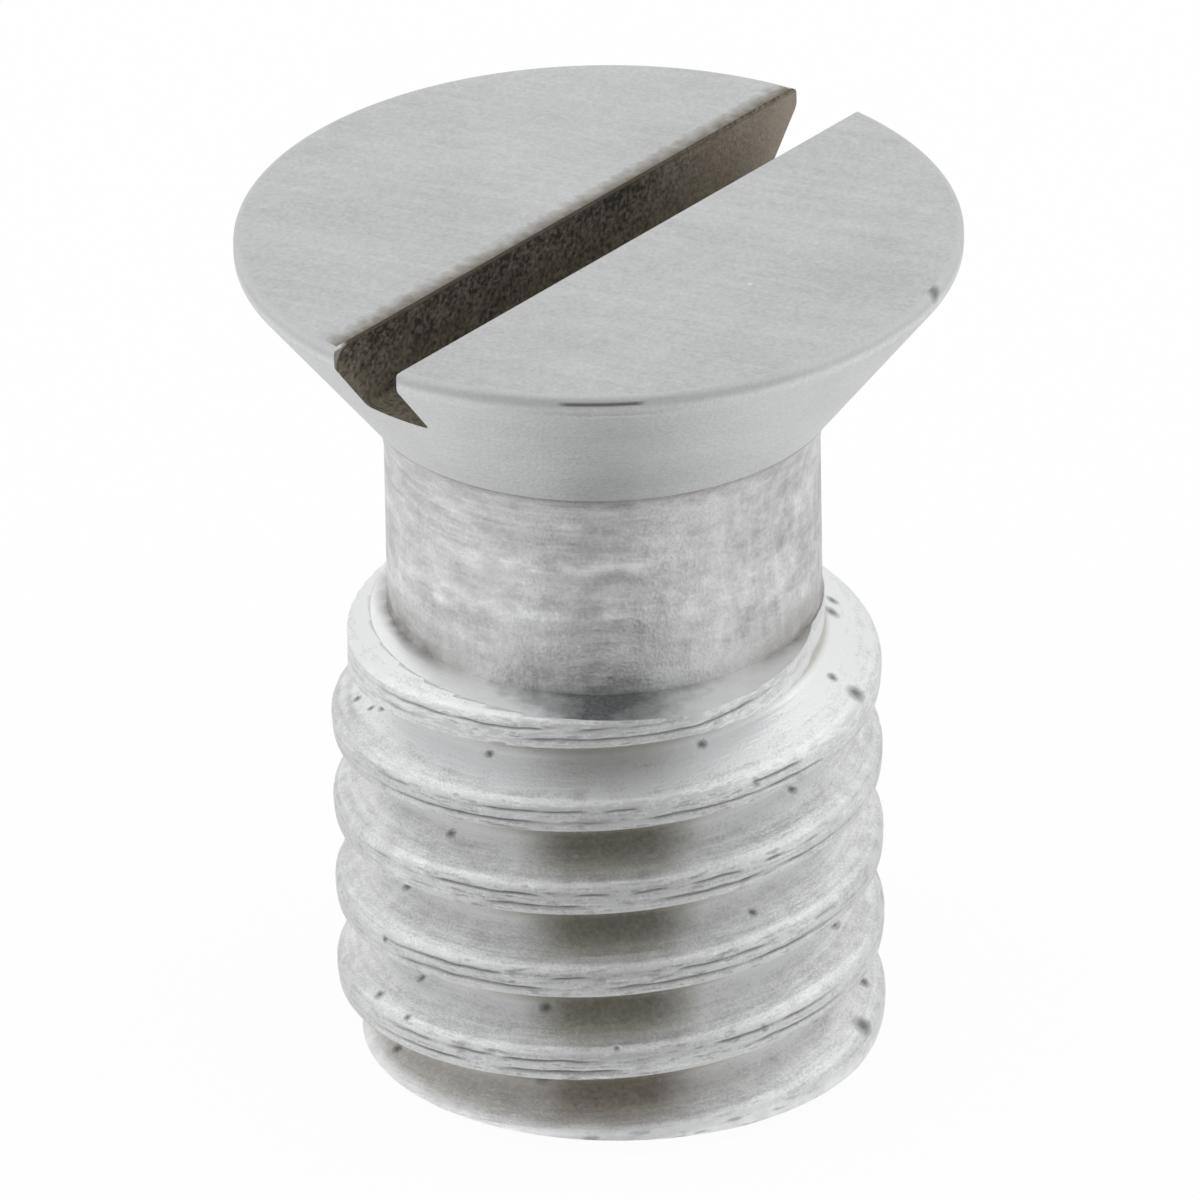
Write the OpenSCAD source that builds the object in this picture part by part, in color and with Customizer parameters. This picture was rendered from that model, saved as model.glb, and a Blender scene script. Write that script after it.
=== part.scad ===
// Slotted countersunk screw with a waisted shank, standing on its threaded end.
// Millimetres. The axis is Z, the origin is the middle of the end face, the slot runs along X.

/* [Head] */
// Length from the end face to the top of the head
overall_length = 9.61; // [9:0.01:16]
// Diameter over the rim of the head
head_d = 7.71; // [6.6:0.01:9.4]
// Included angle of the countersunk cone
head_angle = 76; // [60:1:100]
// Radius that breaks the top edge of the rim
rim_break = 0.04; // [0.02:0.01:0.2]
// Height of the straight land round the rim
rim_land = 0.1; // [0.02:0.01:0.4]
// Radius that runs from the land into the cone
rim_round = 0.14; // [0.05:0.01:0.3]

/* [Driver slot] */
// Width of the slot
slot_width = 0.85; // [0.5:0.05:1.6]
// Depth of the slot below the top of the head
slot_depth = 0.88; // [0.4:0.01:1.4]

/* [Shank] */
// Diameter of the plain shank
shank_d = 4.63; // [3.6:0.01:4.66]
// Radius in the corner between the shank and the cone
neck_fillet = 0.15; // [0.05:0.01:0.4]

/* [Thread] */
// Diameter over the crests
thread_d = 5.87; // [5.8:0.01:6.6]
// Length from the end face to the flat shoulder under the shank
thread_length = 5.27; // [3:0.01:6.2]
// Rise of the right-hand helix in one turn
pitch = 1; // [0.75:0.01:1.1]
// Angle of each flank to a plane across the axis
flank_angle = 30; // [25:0.5:32]
// Direction in which the last crest leaves the end face
exit_angle = 160; // [0:1:359]

/* [Ends and wear] */
// Diameter of the flat end face
end_d = 5.05; // [4.6:0.01:5.6]
// Angle of the chamfer round the end face to the axis
end_chamfer_angle = 61; // [30:1:75]
// How far the first crest is beaten down at its dent
dent_depth = 0.57; // [0.05:0.01:0.6]
// How far the end chamfer sits off the axis
end_shift = 0.14; // [0:0.01:0.2]
// Direction in which the end chamfer sits off the axis
end_shift_angle = 302; // [0:1:359]

/* [Hidden] */
steel_colour = "#bdbdbb";
$fn = 96;
arc_steps = 6;
overlap = 0.05;
clearance = 0.3;

head_r = head_d / 2;
shank_r = shank_d / 2;
thread_r = thread_d / 2;
end_r = end_d / 2;
half_angle = head_angle / 2;

// Outline of the head and shank, from the shoulder upwards
cone_top_r = head_r - rim_round * (1 - cos(half_angle));
rim_low_z = overall_length - rim_break - rim_land;
cone_top_z = rim_low_z - rim_round * sin(half_angle);
neck_z = cone_top_z - (cone_top_r - shank_r) / tan(half_angle);
fillet_run = neck_fillet * tan(half_angle / 2);

// Form of the thread, each width a share of the pitch
crest_width = 0.04 * pitch;
bevel_width = 0.1 * pitch;
bevel_drop = 0.05 * pitch;
root_width = 0.125 * pitch;
flank_start = crest_width / 2 + bevel_width;
thread_depth = bevel_drop + (pitch / 2 - flank_start - root_width / 2) / tan(flank_angle);
root_round = root_width / 2 * cos(flank_angle) / (1 - sin(flank_angle));

// The first crest fades out at the shoulder, and its dent lies half a turn before that
fade_start = thread_length - 0.05 * pitch;
fade_run = 0.14 * pitch;
dent_z = thread_length - 0.48 * pitch;
dent_run = 0.133 * pitch;

// Steps of the helix, from a turn below the end face to above the shoulder
turn_steps = 72;
spare_turn = 0.1;
first_step = -floor((1 + spare_turn) * turn_steps);
last_step = ceil((thread_length / pitch + spare_turn) * turn_steps);
strip_steps = last_step - first_step;

function arc(centre, radius, from, to) =
    [for (i = [0:arc_steps])
        let (a = from + (to - from) * i / arc_steps)
        centre + radius * [cos(a), sin(a)]];

// One pitch of the thread, as [drop below the crest, height above the crest's middle]
root_sweep = 90 - flank_angle;
thread_form = concat(
    [[bevel_drop, -flank_start], [0, -crest_width / 2], [0, crest_width / 2], [bevel_drop, flank_start]],
    [for (b = [-root_sweep:root_sweep / 2:root_sweep])
        [thread_depth - root_round * (1 - cos(b)), pitch / 2 + root_round * sin(b)]]
);
form_points = len(thread_form);

function crest_r(z) =
    let (fade = max(0, min(1, (z - fade_start) / fade_run)))
    let (dent = exp(-pow((z - dent_z) / dent_run, 2)))
    thread_r - max(fade * thread_depth, dent * dent_depth);

// A point of the thread, step k along the helix and point m of the form
function thread_point(k, m) =
    let (turn = (first_step + k) / turn_steps)
    let (a = exit_angle + 360 * turn)
    let (crest_z = pitch * turn)
    let (r = min(thread_r - thread_form[m][0], crest_r(crest_z)))
    [r * cos(a), r * sin(a), crest_z + thread_form[m][1]];

// Number of a point in the list: past the end of the form comes the next turn's first point
function point_number(k, m) =
    m < form_points ? k * form_points + m
    : k + turn_steps <= strip_steps ? (k + turn_steps) * form_points
    : (strip_steps + 1) * form_points + k + turn_steps - strip_steps - 1;

module helix() {
    top_row = [for (k = [1:turn_steps]) thread_point(strip_steps + k, 0)];
    points = concat(
        [for (k = [0:strip_steps]) for (m = [0:form_points - 1]) thread_point(k, m)],
        top_row,
        [[0, 0, thread_point(0, 0)[2]], [0, 0, top_row[turn_steps - 1][2]]]
    );
    low_centre = len(points) - 2;
    high_centre = len(points) - 1;
    sides = [for (k = [0:strip_steps - 1]) for (m = [0:form_points - 1])
        let (p = point_number(k, m))
        let (q = point_number(k + 1, m))
        let (r = point_number(k + 1, m + 1))
        let (s = point_number(k, m + 1))
        each [[p, r, q], [p, s, r]]];
    low_rim = concat(
        [for (k = [0:turn_steps]) point_number(k, 0)],
        [for (m = [form_points - 1:-1:0]) point_number(0, m)]
    );
    high_rim = concat(
        [for (k = [strip_steps - turn_steps:strip_steps]) point_number(k, form_points)],
        [for (m = [form_points - 1:-1:0]) point_number(strip_steps, m)]
    );
    caps = concat(
        [for (i = [0:len(low_rim) - 2]) [low_centre, low_rim[i], low_rim[i + 1]]],
        [for (i = [0:len(high_rim) - 2]) [high_centre, high_rim[i + 1], high_rim[i]]]
    );
    polyhedron(points, concat(sides, caps), convexity = 10);
}

// Room that the thread is cut to: flat end, end chamfer and flat shoulder
module thread_limits() {
    clear_r = thread_r + end_shift + clearance;
    clear_z = (clear_r - end_r) / tan(end_chamfer_angle);
    translate(end_shift * [cos(end_shift_angle), sin(end_shift_angle), 0])
        rotate_extrude()
            polygon([[0, 0], [end_r, 0], [clear_r, clear_z], [clear_r, thread_length], [0, thread_length]]);
}

module thread() {
    intersection() {
        helix();
        thread_limits();
    }
}

module head_and_shank() {
    fillet_centre = [shank_r + neck_fillet, neck_z - fillet_run];
    outline = concat(
        [[0, thread_length - overlap], [shank_r, thread_length - overlap]],
        arc(fillet_centre, neck_fillet, 180, 180 - half_angle),
        arc([head_r - rim_round, rim_low_z], rim_round, -half_angle, 0),
        arc([head_r - rim_break, overall_length - rim_break], rim_break, 0, 90),
        [[0, overall_length]]
    );
    rotate_extrude() polygon(outline);
}

module driver_slot() {
    slot_length = head_d + 2 * clearance;
    translate([-slot_length / 2, -slot_width / 2, overall_length - slot_depth])
        cube([slot_length, slot_width, slot_depth + clearance]);
}

module screw() {
    color(steel_colour)
        difference() {
            union() {
                thread();
                head_and_shank();
            }
            driver_slot();
        }
}

screw();
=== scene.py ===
import math

import bmesh
import bpy
from mathutils import Matrix, Vector, noise


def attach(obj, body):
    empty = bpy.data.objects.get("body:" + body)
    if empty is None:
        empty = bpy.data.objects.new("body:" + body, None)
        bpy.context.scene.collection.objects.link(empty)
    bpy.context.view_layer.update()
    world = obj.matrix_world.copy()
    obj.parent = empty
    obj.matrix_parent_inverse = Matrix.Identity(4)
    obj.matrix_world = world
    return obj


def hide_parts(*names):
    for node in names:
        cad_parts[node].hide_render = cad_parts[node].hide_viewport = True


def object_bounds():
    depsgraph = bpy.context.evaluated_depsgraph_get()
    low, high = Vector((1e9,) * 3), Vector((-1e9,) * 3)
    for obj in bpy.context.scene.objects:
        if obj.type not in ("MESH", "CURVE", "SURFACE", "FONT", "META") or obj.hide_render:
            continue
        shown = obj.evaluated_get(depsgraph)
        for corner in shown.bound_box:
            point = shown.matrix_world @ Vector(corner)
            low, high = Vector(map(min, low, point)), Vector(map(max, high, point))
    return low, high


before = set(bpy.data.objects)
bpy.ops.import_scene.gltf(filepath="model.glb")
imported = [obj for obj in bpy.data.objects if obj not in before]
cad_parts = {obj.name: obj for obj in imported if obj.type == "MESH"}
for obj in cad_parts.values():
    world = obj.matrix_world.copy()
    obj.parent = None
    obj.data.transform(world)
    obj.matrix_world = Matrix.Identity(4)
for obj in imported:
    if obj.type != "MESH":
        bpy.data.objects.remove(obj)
cadLow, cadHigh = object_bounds()
print("frame loaded:", sorted(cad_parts))

mm = 0.001
scene = bpy.context.scene
topZ = cadHigh.z / mm  # everything below is worked out in millimetres, like the frame's source

photoAzimuth = -50  # the slot lies along X, and the camera stands this far round from -Y


def rigSpot(right, away, up):
    # a place given as the photographer sees it, turned into the part's own frame
    turn = Matrix.Rotation(math.radians(photoAzimuth), 3, "Z")
    return turn @ (Vector((right, away, up)) * mm)


# node helpers, used by the shape trees and the steel finishes alike
def feed(tree, term, socket):
    if isinstance(term, bpy.types.NodeSocket):
        tree.links.new(term, socket)
    else:
        socket.default_value = term


def mathOf(tree, operation, *terms):
    node = tree.nodes.new("ShaderNodeMath")
    node.operation = operation
    for term, socket in zip(terms, node.inputs):
        feed(tree, term, socket)
    return node.outputs[0]


def blendOf(tree, share, first, second):
    node = tree.nodes.new("ShaderNodeMix")
    for term, socket in zip((share, first, second), (node.inputs[0], node.inputs[2], node.inputs[3])):
        feed(tree, term, socket)
    return node.outputs[0]


def vectorOf(tree, *parts):
    node = tree.nodes.new("ShaderNodeCombineXYZ")
    for part, socket in zip(parts, node.inputs):
        feed(tree, part, socket)
    return node.outputs[0]


def productOf(tree, first, *others):
    total = first
    for term in others:
        total = mathOf(tree, "MULTIPLY", total, term)
    return total


def mostOf(tree, first, *others):
    total = first
    for term in others:
        total = mathOf(tree, "MAXIMUM", total, term)
    return total


# steel finishes
def newFinish(name):
    finish = bpy.data.materials.new(name)
    finish.use_nodes = True
    tree = finish.node_tree
    return finish, tree, tree.nodes["Principled BSDF"]


def placeOf(tree, cell=(1, 1, 1), turn=0.0):
    # object coordinates counted in cells of so many millimetres, turned about the axis
    coords = tree.nodes.new("ShaderNodeTexCoord")
    mapping = tree.nodes.new("ShaderNodeMapping")
    mapping.vector_type = "TEXTURE"
    mapping.inputs["Rotation"].default_value = (0, 0, math.radians(turn))
    mapping.inputs["Scale"].default_value = [side * mm for side in cell]
    tree.links.new(coords.outputs["Object"], mapping.inputs["Vector"])
    return mapping.outputs["Vector"]


def axesOf(tree, turn=0.0):
    split = tree.nodes.new("ShaderNodeSeparateXYZ")
    feed(tree, placeOf(tree, turn=turn), split.inputs[0])
    return split.outputs


def radiusOf(tree, centre=(0, 0, 0)):
    # distance from an upright line: cells so tall leave nothing of the height
    node = tree.nodes.new("ShaderNodeVectorMath")
    node.operation = "DISTANCE"
    feed(tree, placeOf(tree, (1, 1, 1e6)), node.inputs[0])
    node.inputs[1].default_value = centre
    return node.outputs["Value"]


def attributeOf(tree, name):
    node = tree.nodes.new("ShaderNodeAttribute")
    node.attribute_name = name
    return node.outputs["Fac"]


def noiseOf(tree, place, seed=0.0, detail=3.0):
    node = tree.nodes.new("ShaderNodeTexNoise")
    node.noise_dimensions = "4D"
    feed(tree, place, node.inputs["Vector"])
    feed(tree, seed, node.inputs["W"])
    node.inputs["Scale"].default_value = 1
    node.inputs["Detail"].default_value = detail
    node.inputs["Roughness"].default_value = 0.55
    return node


def grainOf(tree, cell, seed=0.0, detail=3.0, turn=0.0):
    return noiseOf(tree, placeOf(tree, cell, turn), seed, detail).outputs["Fac"]


def rangeOf(tree, value, fromLow, fromHigh, toLow=0.0, toHigh=1.0):
    node = tree.nodes.new("ShaderNodeMapRange")
    for term, socket in zip((value, fromLow, fromHigh, toLow, toHigh), node.inputs):
        feed(tree, term, socket)
    return node.outputs[0]


def tintOf(tree, share, first, second):
    node = tree.nodes.new("ShaderNodeMix")
    node.data_type = "RGBA"
    for term, socket in zip((share, first, second), (node.inputs[0], node.inputs[6], node.inputs[7])):
        feed(tree, term, socket)
    return node.outputs[2]


def stackOf(tree, *layers):
    # grains laid over each other about the middle of their range
    total = 0.5
    for weight, grain in layers:
        total = mathOf(tree, "MULTIPLY_ADD", mathOf(tree, "SUBTRACT", grain, 0.5), weight, total)
    return total


def reliefOf(tree, height, depth):
    node = tree.nodes.new("ShaderNodeBump")
    node.inputs["Distance"].default_value = depth * mm
    feed(tree, height, node.inputs["Height"])
    return node.outputs["Normal"]


def spotsOf(tree, spots, fray):
    # small hollows at (x, y, z) of a given size, their edge frayed
    warp = noiseOf(tree, placeOf(tree, (0.05, 0.05, 0.05)), 9.0, 2.0).outputs["Color"]
    frayed = tree.nodes.new("ShaderNodeVectorMath")
    frayed.operation = "MULTIPLY_ADD"
    feed(tree, warp, frayed.inputs[0])
    frayed.inputs[1].default_value = (fray, fray, fray)
    feed(tree, placeOf(tree), frayed.inputs[2])
    total = 0.0
    for x, y, z, size in spots:
        away = tree.nodes.new("ShaderNodeVectorMath")
        away.operation = "DISTANCE"
        feed(tree, frayed.outputs[0], away.inputs[0])
        away.inputs[1].default_value = (x + fray / 2, y + fray / 2, z + fray / 2)
        here = rangeOf(tree, away.outputs["Value"], size * 1.1, size * 0.2)
        total = mostOf(tree, here, total)
    return total


def grey(level, warm=0.0):
    return (level * (1 + warm), level, level * (1 - warm), 1)


def setFinish(tree, shader, colour, metallic, rough, normal):
    feed(tree, colour, shader.inputs["Base Color"])
    feed(tree, metallic, shader.inputs["Metallic"])
    feed(tree, rough, shader.inputs["Roughness"])
    feed(tree, normal, shader.inputs["Normal"])


# the end chamfer sits a little off the axis
end = {
    "diameter": 5.05,
    "chamferAngle": 61.0,
    "shift": 0.14,
    "shiftAngle": 302.0,
    "clearance": 0.3,
    "segments": 192,
}


def endOffset():
    angle = math.radians(end["shiftAngle"])
    return Vector((math.cos(angle), math.sin(angle), 0)) * end["shift"]


# each range below is where a share starts and ends, followed by the two shares where they aren't 0 and 1
threadLook = {
    "dark": grey(0.50, -0.002),
    "light": grey(0.80, -0.006),
    "crest": grey(0.66, -0.006),
    # the dirt colour also paints shade on the flanks
    "dirtAndShadeColour": (0.37, 0.357, 0.297, 1),
    "rust": (0.37, 0.334, 0.28, 1),
    # the edge colour is a painted highlight along the worn edge above the end chamfer
    "edge": grey(0.84, -0.006),
    "pit": grey(0.025, -0.06),
    "roughness": (0.28, 0.42),
    "dullRoughness": 0.62,
    "linesPerMm": 28,
    "foldsPerMm": (4.5, 4.5, 24),
    "foldBright": (0.50, 0.42),
    "foldDark": (0.54, 0.68, 0.0, 0.42),
    "foldSides": (2.2, 1.6, 0.2, 1.0),
    "crestAbove": (0.15, 0.09),
    "crestBelow": (-0.27, -0.21),
    # painted light on the flanks towards the root
    "flankPaintedLight": (0.2, 0.42, 0.0, 0.6),
    "topTurn": (4.1, 4.35, 0.0, 0.45),
    "root": (0.40, 0.46),
    "rootTint": 0.5,
    # the next three place groove dirt and a painted shade band on the flanks
    "dirtAndShadeAbove": (0.15, 0.29),
    "dirtAndShadeBelow": (-0.22, -0.28),
    "paintedShadeSides": (1.0, 0.45, 0.08, 1.0),
    "lowTurn": (1.0, 0.5, 0.0, 0.6),
    "lowTurnRight": (0.6, 1.6, 1.0, 0.2),
    # less of the groove dirt and painted shade on the top turn
    "topTurnLessDirtAndShade": (3.9, 4.2, 1.0, 0.2),
    "rustBelow": (1.5, 0.6),
    "edgeHighlightReach": (0.2, 0.06),
    "seamShare": 0.7,
    "pitShare": 0.75,
    "pitFray": 0.05,
    "reliefDepth": 0.006,
    "pits": [
        (-2.503, 0.078, 3.391, 0.075),
        (-2.263, 0.903, 2.374, 0.085),
        (-2.835, 0.756, 2.021, 0.05),
        (-2.367, 0.655, 1.38, 0.065),
        (-2.608, 1.039, 1.16, 0.07),
        (-2.816, 0.48, 1.165, 0.055),
        (-2.256, 1.101, 0.32, 0.08),
        (0.831, -2.38, 1.689, 0.10),
        (-0.686, -2.531, 2.535, 0.065),
        (1.518, -2.243, 0.622, 0.10),
        (0.956, -2.696, 0.494, 0.15),
        (0.441, -2.398, 0.712, 0.075),
        (-2.178, -0.855, 0.641, 0.12),
        (-2.216, -0.952, 1.514, 0.085),
        (0.079, -2.472, 3.668, 0.07),
        (-0.892, -2.795, 4.27, 0.06),
        (-1.068, -2.194, 4.61, 0.07),
        (-2.396, -0.387, 4.465, 0.06),
        (-0.841, -2.81, 1.283, 0.055),
        (-2.167, -1.871, 1.302, 0.05),
        (-1.93, 1.849, 4.177, 0.07),
        (-2.09, 1.336, 4.318, 0.075),
        (-2.095, 1.514, 4.249, 0.05),
        (2.002, -1.479, 4.803, 0.09),
        (1.771, -1.666, 4.817, 0.11),
        (0.948, -2.658, 4.517, 0.13),
        (0.857, -2.413, 4.667, 0.07),
    ],
}


def threadSteel():
    look = threadLook
    finish, tree, shader = newFinish("threadSteel")
    x, y, z = axesOf(tree)
    right = axesOf(tree, photoAzimuth)["X"]
    sideways = mathOf(tree, "ABSOLUTE", right)
    drop = attributeOf(tree, "drop")
    rise = attributeOf(tree, "rise")
    mottle = grainOf(tree, (0.22, 0.22, 0.22), 2.0)
    speckle = grainOf(tree, (0.03, 0.03, 0.03), 3.0)

    # rolled lines keep to the ridges; the flanks carry painted light towards the root, where shade falls,
    # and the top turn is painted lighter
    wound = vectorOf(tree, x, y, productOf(tree, drop, look["linesPerMm"]))
    lines = noiseOf(tree, wound, z).outputs["Fac"]
    skin = stackOf(tree, (1.7, lines), (1.4, mottle), (1.7, speckle))
    lightened = mathOf(tree, "ADD", skin, rangeOf(tree, drop, *look["flankPaintedLight"]))
    lightened = mathOf(tree, "ADD", lightened, rangeOf(tree, z, *look["topTurn"]))
    colour = tintOf(tree, lightened, look["dark"], look["light"])

    # the crest is folded over in fine lines, rubbed bright between them
    folded = [productOf(tree, axis, count) for axis, count in zip((x, y, rise), look["foldsPerMm"])]
    folds = noiseOf(tree, vectorOf(tree, *folded), z, 2.0).outputs["Fac"]
    crest = rangeOf(tree, rise, *look["crestAbove"])
    crest = productOf(tree, crest, rangeOf(tree, rise, *look["crestBelow"]))
    bright = productOf(tree, crest, rangeOf(tree, folds, *look["foldBright"]))
    colour = tintOf(tree, bright, colour, look["crest"])
    foldDark = productOf(tree, crest, rangeOf(tree, folds, *look["foldDark"]))
    foldDark = productOf(tree, foldDark, rangeOf(tree, sideways, *look["foldSides"]))
    deep = rangeOf(tree, drop, *look["root"])
    colour = tintOf(tree, productOf(tree, deep, look["rootTint"]), colour, look["dirtAndShadeColour"])

    # dirt lies in the groove, with painted shade: a dark band on the flanks, strongest on the flanks
    # nearest and farthest from the camera, and more dirt on the lowest turn
    dirtAndShade = mostOf(tree, rangeOf(tree, rise, *look["dirtAndShadeAbove"]), rangeOf(tree, rise, *look["dirtAndShadeBelow"]))
    lowest = rangeOf(tree, z, *look["lowTurn"])
    lowest = productOf(tree, lowest, rangeOf(tree, right, *look["lowTurnRight"]))
    dirtAndShade = productOf(tree, dirtAndShade, mostOf(tree, rangeOf(tree, sideways, *look["paintedShadeSides"]), lowest))
    dirtAndShadeGrain = grainOf(tree, (0.06, 0.06, 0.06), 4.0)
    dirtAndShade = productOf(tree, dirtAndShade, rangeOf(tree, dirtAndShadeGrain, 0.3, 0.7, 0.6, 1.0))
    dirtAndShade = productOf(tree, dirtAndShade, rangeOf(tree, z, *look["topTurnLessDirtAndShade"]))
    soilAndShadeColour = tintOf(tree, rangeOf(tree, z, *look["rustBelow"]), look["dirtAndShadeColour"], look["rust"])
    colour = tintOf(tree, dirtAndShade, colour, soilAndShadeColour)

    # just above the end chamfer the edge is worn, and a highlight is painted along it as on a slightly
    # rounded edge
    outward = mathOf(tree, "SUBTRACT", radiusOf(tree, endOffset()), end["diameter"] / 2)
    cutHeight = mathOf(tree, "DIVIDE", outward, math.tan(math.radians(end["chamferAngle"])))
    edge = rangeOf(tree, mathOf(tree, "SUBTRACT", z, cutHeight), *look["edgeHighlightReach"])
    edge = productOf(tree, edge, rangeOf(tree, mottle, 0.35, 0.6, 0.5, 1.0))
    colour = tintOf(tree, edge, colour, look["edge"])
    seam = productOf(tree, attributeOf(tree, "seam"), look["seamShare"])
    pits = spotsOf(tree, look["pits"], look["pitFray"])
    dark = mostOf(tree, seam, foldDark, productOf(tree, pits, look["pitShare"]))
    colour = tintOf(tree, dark, colour, look["pit"])

    metallic = mathOf(tree, "SUBTRACT", 1.0, productOf(tree, dark, 0.6))
    grain = stackOf(tree, (1.0, mottle), (0.8, lines), (-0.3, crest))
    rough = rangeOf(tree, grain, 0.2, 0.8, *look["roughness"])
    rough = blendOf(tree, mostOf(tree, dirtAndShade, deep, crest), rough, look["dullRoughness"])
    relief = stackOf(tree, (0.7, lines), (0.6, speckle), (-1.5, pits))
    relief = mathOf(tree, "SUBTRACT", relief, productOf(tree, crest, folds))
    setFinish(tree, shader, colour, metallic, rough, reliefOf(tree, relief, look["reliefDepth"]))
    return finish


endLook = {
    "dark": grey(0.80, -0.004),
    "light": grey(0.96, -0.008),
    # this colour also paints a contact shadow on the foot
    "dirtAndShadeColour": grey(0.27, 0.06),
    # colour of the painted dark reflection on the shoulder
    "paintedShoulderReflection": (0.22, 0.227, 0.234, 1),
    "roughness": (0.28, 0.42),
    "ringsPerMm": 30,
    "ringsUp": 20,
    "shoulder": (5.0, 5.2),
    "cornerRadius": (2.48, 2.33),
    "cornerSides": (1.5, 2.0, 0.1, 1.0),
    "foot": (0.5, 0.1, 0.0, 0.15),
    "shoulderReflectionRadius": 2.35,
    "shoulderReflectionTaper": 0.7,
    "shoulderReflectionWander": 1.2,
    "shoulderReflectionSides": (1.25, 0.35),
    "shoulderReflectionFront": (0.0, -1.0),
    "reliefDepth": 0.004,
}


def endSteel():
    look = endLook
    finish, tree, shader = newFinish("endSteel")
    radius = radiusOf(tree)
    right, away, z = axesOf(tree, photoAzimuth)
    sideways = mathOf(tree, "ABSOLUTE", right)
    turned = vectorOf(tree, productOf(tree, radius, look["ringsPerMm"]))
    rings = noiseOf(tree, turned, productOf(tree, z, look["ringsUp"])).outputs["Fac"]
    mottle = grainOf(tree, (0.25, 0.25, 0.25), 5.0)
    speckle = grainOf(tree, (0.045, 0.045, 0.045), 6.0)
    skin = stackOf(tree, (0.7, rings), (1.0, mottle), (0.6, speckle))
    colour = tintOf(tree, skin, look["dark"], look["light"])

    # darker, in a dirt tone, in the corner under the shank, most at the sides, and on the foot, where dirt
    # and a painted contact shadow lie
    shoulder = rangeOf(tree, z, *look["shoulder"])
    corner = productOf(tree, rangeOf(tree, radius, *look["cornerRadius"]), shoulder)
    corner = productOf(tree, corner, rangeOf(tree, sideways, *look["cornerSides"]))
    dirtAndShade = mostOf(tree, corner, rangeOf(tree, z, *look["foot"]))
    dirtAndShade = productOf(tree, dirtAndShade, rangeOf(tree, mottle, 0.3, 0.65, 0.3, 0.9))
    colour = tintOf(tree, dirtAndShade, colour, look["dirtAndShadeColour"])

    # a painted dark reflection on the shoulder in front, narrower further out
    outward = mathOf(tree, "SUBTRACT", radius, look["shoulderReflectionRadius"])
    sweep = mathOf(tree, "MULTIPLY_ADD", outward, look["shoulderReflectionTaper"], sideways)
    wander = mathOf(tree, "SUBTRACT", mottle, 0.5)
    sweep = mathOf(tree, "MULTIPLY_ADD", wander, look["shoulderReflectionWander"], sweep)
    paintedShoulderReflection = productOf(tree, rangeOf(tree, sweep, *look["shoulderReflectionSides"]), shoulder)
    paintedShoulderReflection = productOf(tree, paintedShoulderReflection, rangeOf(tree, away, *look["shoulderReflectionFront"]))
    paintedShoulderReflection = productOf(tree, paintedShoulderReflection, rangeOf(tree, speckle, 0.3, 0.6, 0.75, 1.0))
    colour = tintOf(tree, paintedShoulderReflection, colour, look["paintedShoulderReflection"])
    metallic = mathOf(tree, "SUBTRACT", 1.0, productOf(tree, dirtAndShade, 0.5))
    grain = stackOf(tree, (1.0, mottle), (0.5, rings))
    rough = rangeOf(tree, grain, 0.2, 0.8, *look["roughness"])
    relief = stackOf(tree, (0.8, rings), (0.5, speckle))
    setFinish(tree, shader, colour, metallic, rough, reliefOf(tree, relief, look["reliefDepth"]))
    return finish


shankLook = {
    "dark": grey(0.38, 0.004),
    "light": grey(0.90, -0.004),
    "dirtAndShadeColour": grey(0.28, 0.05),
    "rust": (0.34, 0.31, 0.285, 1),
    "roughness": (0.42, 0.60),
    "chatterSide": (-0.3, 1.2),
    "chatterLow": (6.7, 6.3, 0.1, 0.6),
    "bands": ((6.27, 0.1, -1.9, 0.9), (6.78, 0.0, -1.2, 0.8)),  # height, slant, left end, right end
    "bandWidth": (0.16, 0.02),
    "bandFade": 0.2,
    "shadeSide": (1.0, 2.2, 0.0, 0.12),
    "foot": (5.75, 5.35),
    "footSides": (1.3, 1.9, 0.1, 1.0),
    "neck": (7.60, 7.70),
    "reliefDepth": 0.012,
}


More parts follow.
